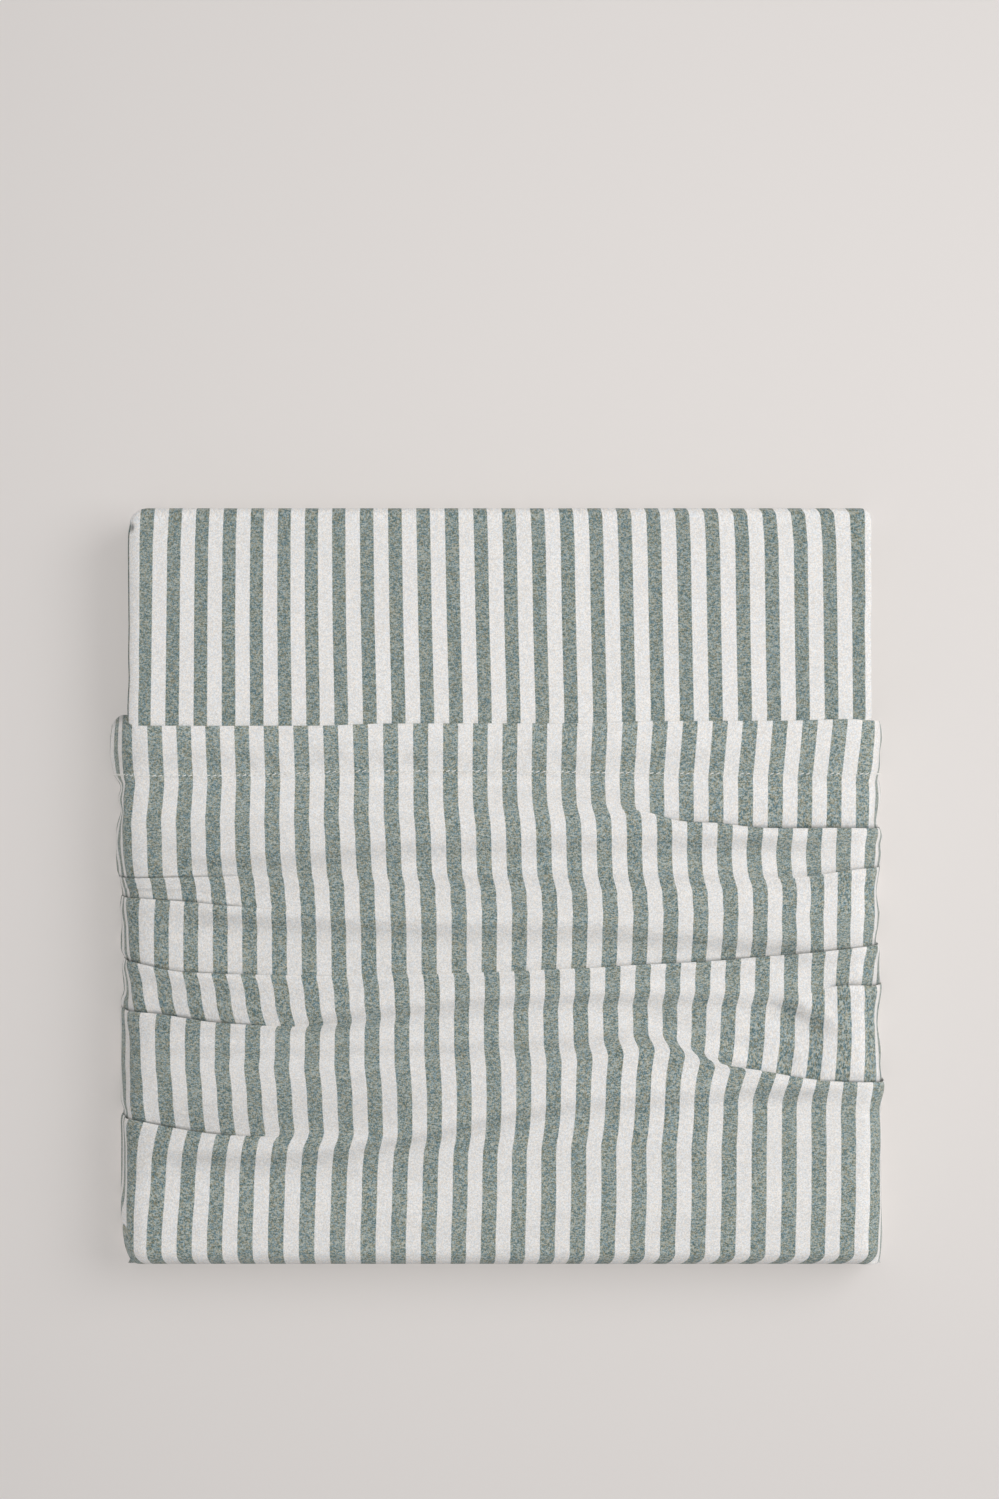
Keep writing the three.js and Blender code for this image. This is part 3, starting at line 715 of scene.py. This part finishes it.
# How far the cover's stripes have slid sideways, at the places of ACROSS, for rows along Y
COVER_LEAN = [
    (192, (0.6, -1.4, -3.9, -4.6, -4.8, -4.8, -4.7, -4.8, -5.1)),
    (187, (0.5, -1.4, -3.9, -4.2, -3.8, -3.1, -2.0, -1.7, -1.0)),
    (172, (-0.3, -1.8, -3.8, -3.9, -3.2, -2.5, -1.0, -0.3, -0.2)),
    (133, (-0.8, -2.1, -3.5, -3.1, -2.6, -1.7, -0.5, 0.2, 0.5)),
    (88, (-1.4, -1.8, -2.4, -1.9, -1.4, -0.8, 0.3, 0.8, 0.8)),
]


def cover_lean(x, y):
    rows = np.array([lean_row(values, x) for _, values in COVER_LEAN])
    levels = np.array([level for level, _ in COVER_LEAN])
    out = rows[-1].copy()
    for index in reversed(range(len(levels) - 1)):
        share = np.clip((y - levels[index + 1]) / (levels[index] - levels[index + 1]), 0, 1)
        out = np.where(y > levels[index + 1], rows[index + 1] + (rows[index] - rows[index + 1]) * share, out)
    return out


# The order in which the closed tube runs through a pass's plies, counted from the top one, and how
# far in from either side the top ply's columns near its edges lie
PLY_ORDER = [0, 3, 4, 7, 8, 11, 10, 9, 6, 5, 2, 1]
NEAR_EDGE = np.array([0, 0.4, 0.9, 1.5, 2.2, 3, 4, 5, 6, 7.2, 8.6, 10])
TOP_PLY_COLUMNS, PLY_COLUMNS = 110, 9


def cover_plies():
    """The cover's section across its width, as a closed tube folded in six: places along the cloth,
    across the pack, and the ply that each lies in."""
    rng = np.random.default_rng(11)
    middle = np.linspace(COVER_LEFT_X + 12, COVER_RIGHT_X - 12, TOP_PLY_COLUMNS)
    shown = np.concatenate([COVER_LEFT_X + NEAR_EDGE, middle, COVER_RIGHT_X - NEAR_EDGE[::-1]])
    points = []
    run = 0.0
    for index, ply in enumerate(PLY_ORDER):
        towards = 1 if index % 2 == 0 else -1
        start, end = (COVER_LEFT_X, COVER_RIGHT_X)[::towards]
        for x in (shown if ply == 0 else np.linspace(start, end, PLY_COLUMNS)):
            points.append((run + abs(x - start), x, float(ply)))
        run += COVER_RIGHT_X - COVER_LEFT_X
        following = PLY_ORDER[(index + 1) % len(PLY_ORDER)]
        radius = abs(following - ply) * PLY_PITCH / 2
        jut = rng.uniform(-0.4, 0.3) + radius + (0.5 if index == 0 else 0.0)
        for angle in np.radians(np.linspace(-90, 90, 7)[1:-1]):
            level = (ply + following) / 2 + math.sin(angle) * (following - ply) / 2
            x = end + towards * jut * math.cos(angle)
            points.append((run + radius * (angle + math.pi / 2), x, level))
        run += math.pi * radius
    points.append((run, COVER_LEFT_X, 0.0))
    return np.array(points)


# The cover's sides with the turns of its plies, and for its left and right side how far the top
# sinks there and over what width, its corner's radius and how uneven its edge is
COVER_SIDES = (-187.5, 186.0)
SIDE_SINK, SIDE_SINK_WIDTH = (2.2, 1.0), (7.0, 4.0)
CORNER_RADIUS = (10.0, 4.0)
EDGE_WANDER = (0.3, 0.45)


def by_side(x, values):
    """The first of two values on the left half, the second on the right."""
    return np.where(x < 0, *values)


def corner_inset(x, from_side):
    """How far the folded end is rounded back at its corners."""
    radius = by_side(x, CORNER_RADIUS)
    into = np.clip(radius - from_side, 0, radius)
    return radius - np.sqrt(radius ** 2 - into ** 2)


def cover_heights(x, y, z, from_side):
    """Heights with the sides sunk and the part in the sleeve pressed down, and which part is."""
    sunk = by_side(x, SIDE_SINK) * np.clip(1 - from_side / by_side(x, SIDE_SINK_WIDTH), 0, 1) ** 1.5
    z = z - 1.2 * smoothstep(78, 120, y) - sunk * smoothstep(10, 40, z)
    covered = 1 - smoothstep(-6.0, -0.5, y - soft_curve(MOUTH_LINE, x))
    pressed = 1.4 + 3.4 * np.clip(1 - from_side / 20.0, 0, 1) ** 2
    return z - pressed * covered * smoothstep(25, 38, z), covered


def make_cover():
    line, plies = strip_line(), cover_plies()
    run = np.concatenate([[0], np.cumsum(np.hypot(np.diff(line[:, 0]), np.diff(line[:, 1])))])
    level = (PLIES_PER_PASS - 1) / 2 - plies[None, :, 2]
    x = np.broadcast_to(plies[None, :, 1], (len(line), len(plies))).copy()
    from_side = np.minimum(x - COVER_SIDES[0], COVER_SIDES[1] - x)
    share = 0.42 + 0.58 * np.sqrt(np.clip(1 - (1 - np.clip(from_side / 6.0, 0, 1)) ** 2, 0, 1))
    out = level * PLY_PITCH * share
    y = line[:, 0:1] + line[:, 2:3] * out
    y = y - corner_inset(x, from_side) * smoothstep(150, 186, line[:, 0:1])
    z, covered = cover_heights(x, y, line[:, 1:2] + line[:, 3:4] * out, from_side)
    x = x * (1 - 0.013 * covered)
    z = z + 0.15 * soft_noise(x, y + 40 * np.round(line[:, 1:2] / PASS_PITCH), 60, 45, 8)
    lean = cover_lean(np.clip(x, -186, 185), y) * (np.abs(x) < 186)
    edge_hold = smoothstep(0, 14, from_side)
    x = x + lean * edge_hold

    on_top_pass = z > 30
    # Painted shade on the top pass: a shadowed pit at its left corner, a dark line along its folded left
    # edge, and darker cloth over the left edge's last few millimetres. The pit's pinch also draws the corner
    # in.
    pinch = np.exp(-((x + 185.6) / 1.3) ** 2 - ((y - 180.0) / 2.4) ** 2)
    painted_shade = np.maximum(pinch, 0.5 * np.exp(-((x + 186.6) / 0.5) ** 2) * on_top_pass) * on_top_pass
    painted_shade = np.maximum(painted_shade, 0.11 * np.exp(-(from_side / 3.5) ** 2) * (x < 0))
    x = x + by_side(x, (1.2, 0.0)) * pinch
    x = x + (1 - edge_hold) * by_side(x, EDGE_WANDER) * soft_noise(x / 40, y, 1, 13, 12)
    cloth = np.stack([
        np.broadcast_to(plies[None, :, 0] + plies[0, 1], x.shape),
        np.broadcast_to(run[:, None], x.shape),
    ], axis=2)
    return grid_mesh("cover_cloth", np.stack([x, y, z], axis=2), cloth, painted_shade)


def new_material(name):
    material = bpy.data.materials.new(name)
    material.use_nodes = True
    return material, material.node_tree


def link(tree, source, target):
    tree.links.new(source, target)


def srgb(red, green, blue):
    """A colour from 0 to 255 as linear light, with full alpha."""
    return (*(((c / 255 + 0.055) / 1.055) ** 2.4 for c in (red, green, blue)), 1.0)


def feed(tree, socket, value):
    """Give a socket a number, a colour from 0 to 255, or the output of another node."""
    if isinstance(value, (int, float)):
        socket.default_value = value
    elif isinstance(value, tuple):
        socket.default_value = srgb(*value)
    else:
        link(tree, value, socket)


def math_node(tree, operation, *values):
    node = tree.nodes.new("ShaderNodeMath")
    node.operation = operation
    for socket, value in zip(node.inputs, values):
        feed(tree, socket, value)
    return node.outputs[0]


def scaled(tree, vector, x, y, z=1.0):
    """The vector times (x, y, z), moved off the planes where noise is flat."""
    node = tree.nodes.new("ShaderNodeVectorMath")
    node.operation = "MULTIPLY_ADD"
    link(tree, vector, node.inputs[0])
    node.inputs[1].default_value = (x, y, z)
    node.inputs[2].default_value = (0.37, 0.61, 0.5)
    return node.outputs[0]


def noise(tree, vector, detail=2.0, roughness=0.6):
    node = tree.nodes.new("ShaderNodeTexNoise")
    node.inputs["Scale"].default_value = 1.0
    node.inputs["Detail"].default_value = detail
    node.inputs["Roughness"].default_value = roughness
    link(tree, vector, node.inputs["Vector"])
    return node.outputs["Fac"]


def mix_color(tree, factor, first, second):
    node = tree.nodes.new("ShaderNodeMix")
    node.data_type = "RGBA"
    for name, value in (("Factor", factor), ("A", first), ("B", second)):
        feed(tree, node.inputs[name], value)
    return node.outputs["Result"]


def map_range(tree, value, low, high, to_low, to_high, smooth=False):
    node = tree.nodes.new("ShaderNodeMapRange")
    if smooth:
        node.interpolation_type = "SMOOTHSTEP"
    link(tree, value, node.inputs["Value"])
    for name, number in (("From Min", low), ("From Max", high), ("To Min", to_low), ("To Max", to_high)):
        node.inputs[name].default_value = number
    return node.outputs["Result"]


def mesh_attribute(tree, name):
    node = tree.nodes.new("ShaderNodeAttribute")
    node.attribute_name = name
    return node


# Noise of each kind of yarn: lumps per millimetre across and along the stripes, and its detail
YARNS = {
    "warp": {"scale": (1.9, 0.45), "detail": 2.0, "roughness": 0.7},
    "weft": {"scale": (0.75, 1.7), "detail": 2.0, "roughness": 0.7},
    "fleck": {"scale": (2.1, 1.6), "detail": 2.0, "roughness": 0.7},
    "tint": {"scale": (1.5, 1.2, 3.0), "detail": 1.0, "roughness": 0.6},
}

# Colours mixed over a stripe's ground, in order: the noise that places each, the values between
# which it comes in, and its most
FLECK_RANGE = (0.42, 0.58)
GREEN_GROUND = (66, 90, 87), (190, 197, 189)
GREEN_MIX = [
    {"yarn": "warp", "range": (0.42, 0.62), "most": 0.3, "color": (100, 126, 122)},
    {"yarn": "tint", "range": (0.51, 0.62), "most": 0.55, "color": (98, 138, 160)},
    {"yarn": "tint", "range": (0.49, 0.38), "most": 0.55, "color": (170, 154, 118)},
    {"yarn": "weft", "range": (0.51, 0.64), "most": 0.6, "color": (200, 205, 199)},
    {"yarn": "weft", "range": (0.49, 0.36), "most": 0.6, "color": (70, 92, 90)},
]
WHITE_GROUND = (218, 216, 213), (250, 248, 246)
WHITE_MIX = [
    {"yarn": "tint", "range": (0.51, 0.62), "most": 0.5, "color": (220, 228, 236)},
    {"yarn": "tint", "range": (0.49, 0.38), "most": 0.5, "color": (242, 232, 220)},
    {"yarn": "weft", "range": (0.5, 0.66), "most": 0.45, "color": (202, 200, 197)},
]


def stripe_mask(tree, cloth, stripes):
    """1 on the green stripes and 0 on the white ones, with slightly ragged edges."""
    split = tree.nodes.new("ShaderNodeSeparateXYZ")
    link(tree, cloth, split.inputs[0])
    ragged = noise(tree, scaled(tree, cloth, 3.0, 1.2), 1.0)
    shifted = math_node(tree, "ADD", split.outputs["X"], map_range(tree, ragged, 0, 1, -0.22, 0.22))
    from_first = math_node(tree, "SUBTRACT", shifted, stripes["first_edge"])
    saw = math_node(tree, "FRACT", math_node(tree, "DIVIDE", from_first, stripes["pitch"]))
    edge = 0.012
    green_share = stripes["green_share"]
    rising = map_range(tree, saw, -edge, edge, 0, 1, True)
    falling = map_range(tree, saw, green_share - edge, green_share + edge, 1, 0, True)
    wrap = map_range(tree, saw, 1 - edge, 1 + edge, 0, 1, True)
    return math_node(tree, "MAXIMUM", math_node(tree, "MULTIPLY", rising, falling), wrap)


def yarn_color(tree, yarns, ground, layers):
    """A stripe's colour: its ground's two colours in flecks, and the layers' colours over them."""
    color = mix_color(tree, map_range(tree, yarns["fleck"], *FLECK_RANGE, 0, 1), *ground)
    for layer in layers:
        share = map_range(tree, yarns[layer["yarn"]], *layer["range"], 0, layer["most"])
        color = mix_color(tree, share, color, layer["color"])
    return color


def bump_node(tree, height, strength, distance):
    node = tree.nodes.new("ShaderNodeBump")
    node.inputs["Strength"].default_value = strength
    node.inputs["Distance"].default_value = distance
    link(tree, height, node.inputs["Height"])
    return node


def cloth_bump(tree, cloth, yarns):
    """The weave's bump over that of the soft crumples."""
    weft_height = math_node(tree, "MULTIPLY", yarns["weft"], 0.7)
    height = math_node(tree, "ADD", math_node(tree, "MULTIPLY", yarns["warp"], 0.5),
                       math_node(tree, "ADD", weft_height, yarns["fleck"]))
    crumple = noise(tree, scaled(tree, cloth, 0.11, 0.16), 3.0, 0.55)
    weave = bump_node(tree, height, 0.5, 0.0002)
    link(tree, bump_node(tree, crumple, 0.35, 0.002).outputs["Normal"], weave.inputs["Normal"])
    return weave.outputs["Normal"]


def striped_cloth(name, stripes):
    """Yarn-dyed stripes along the cloth, darkened by as much painted shade as the mesh's shade attribute
    holds.
    """
    material, tree = new_material(name)
    shader = tree.nodes["Principled BSDF"]
    cloth = mesh_attribute(tree, "cloth_mm").outputs["Vector"]
    yarns = {key: noise(tree, scaled(tree, cloth, *facts["scale"]), facts["detail"], facts["roughness"])
             for key, facts in YARNS.items()}
    dyed = yarn_color(tree, yarns, GREEN_GROUND, GREEN_MIX)
    dyed = mix_color(tree, stripes["deepen"], dyed, (60, 76, 73))
    white = yarn_color(tree, yarns, WHITE_GROUND, WHITE_MIX)
    color = mix_color(tree, stripe_mask(tree, cloth, stripes), white, dyed)
    patch = noise(tree, scaled(tree, cloth, 0.05, 0.05), 2.0, 0.5)
    color = mix_color(tree, map_range(tree, patch, 0.3, 0.7, 0.0, 0.05), color, (150, 147, 143))
    # Painted shade: the colour is mixed towards a dark green-grey as far as the mesh's shade attribute says
    dark = map_range(tree, mesh_attribute(tree, "painted_shade").outputs["Fac"], 0, 1, 0, 0.75)
    color = mix_color(tree, dark, color, (52, 57, 54))
    link(tree, color, shader.inputs["Base Color"])
    shader.inputs["Roughness"].default_value = 0.9
    shader.inputs["Specular IOR Level"].default_value = 0.2
    shader.inputs["Sheen Weight"].default_value = 0.12
    shader.inputs["Sheen Roughness"].default_value = 0.5
    link(tree, cloth_bump(tree, cloth, yarns), shader.inputs["Normal"])
    return material


def floor_material():
    material, tree = new_material("floor_paint")
    shader = tree.nodes["Principled BSDF"]
    shader.inputs["Base Color"].default_value = srgb(226, 221, 218)
    shader.inputs["Roughness"].default_value = 0.95
    shader.inputs["Specular IOR Level"].default_value = 0.1
    return material


def make_floor():
    mesh = bpy.data.meshes.new("floor")
    half = 3.0
    corners = [(-half, -half, 0), (half, -half, 0), (half, half, 0), (-half, half, 0)]
    mesh.from_pydata(corners, [], [(0, 1, 2, 3)])
    floor = add_object("floor", mesh)
    floor.data.materials.append(floor_material())


# Soft lights in metres and watts: a large one from the right, whose shadow falls to the left, and
# one overhead that casts none
AREA_LIGHTS = [
    {"name": "key", "place": (1.25, 0.45, 1.50), "target": (0.0, 0.0, 0.0), "size": 1.5,
     "power": 12.1, "shadow": True},
    {"name": "fill_over", "place": (0.15, 0.12, 1.20), "target": (0.15, 0.12, 0.0), "size": 0.6,
     "power": 4.5, "shadow": False},
]

# Distant fill lights that cast no shadow: name, direction and strength
FILL_SUNS = [
    ("fill_rake", (-0.3, -1.0, -0.6), 0.2),
    ("fill_left", (1.0, 0.0, -0.15), 0.55),
    ("fill_right", (-1.0, -0.1, -0.2), 0.6),
]
WORLD_STRENGTH = 0.371


def add_light(name, kind, power, direction, shadow):
    """A light that shines along direction."""
    light = bpy.data.lights.new(name, kind)
    light.energy = power
    light.use_shadow = shadow
    holder = add_object(name, light)
    holder.rotation_euler = Vector(direction).to_track_quat("-Z", "Y").to_euler()
    return holder


def make_lights():
    for facts in AREA_LIGHTS:
        direction = Vector(facts["target"]) - Vector(facts["place"])
        holder = add_light(facts["name"], "AREA", facts["power"], direction, facts["shadow"])
        holder.location = facts["place"]
        holder.data.shape = "DISK"
        holder.data.size = facts["size"]
    for name, direction, strength in FILL_SUNS:
        add_light(name, "SUN", strength, direction, False)
    world = bpy.data.worlds.new("studio")
    world.use_nodes = True
    background = world.node_tree.nodes["Background"]
    background.inputs["Color"].default_value = (1.0, 1.0, 1.0, 1.0)
    background.inputs["Strength"].default_value = WORLD_STRENGTH
    bpy.context.scene.world = world
    bpy.context.scene.view_settings.view_transform = "Standard"


# The photograph's height in pixels of half a millimetre, and the place that its middle shows
FRAME_PIXELS = 1499
PIXEL_SIZE = 0.5 * MM
FRAME_MIDDLE_Y, SURFACE_Z = 0.0685, 0.041
SENSOR_WIDTH = 36.0


def make_camera():
    """Straight above, as the photograph was taken."""
    distance = CAMERA_DISTANCE * MM
    camera = bpy.data.cameras.new("camera")
    camera.sensor_width = SENSOR_WIDTH
    camera.lens = SENSOR_WIDTH * distance / (FRAME_PIXELS * PIXEL_SIZE)
    holder = add_object("camera", camera)
    holder.location = (0.0, FRAME_MIDDLE_Y, distance + SURFACE_Z)
    bpy.context.scene.camera = holder


make_camera()
make_lights()
make_floor()

sleeve, hem_stitches = make_sleeve()
sleeve.data.materials.append(striped_cloth("sleeve_stripes", SLEEVE_STRIPES))
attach(sleeve, "root")
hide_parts("cloth_sleeve")

cover = make_cover()
cover.data.materials.append(striped_cloth("cover_stripes", COVER_STRIPES))
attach(cover, "root")
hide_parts("folded_cover")
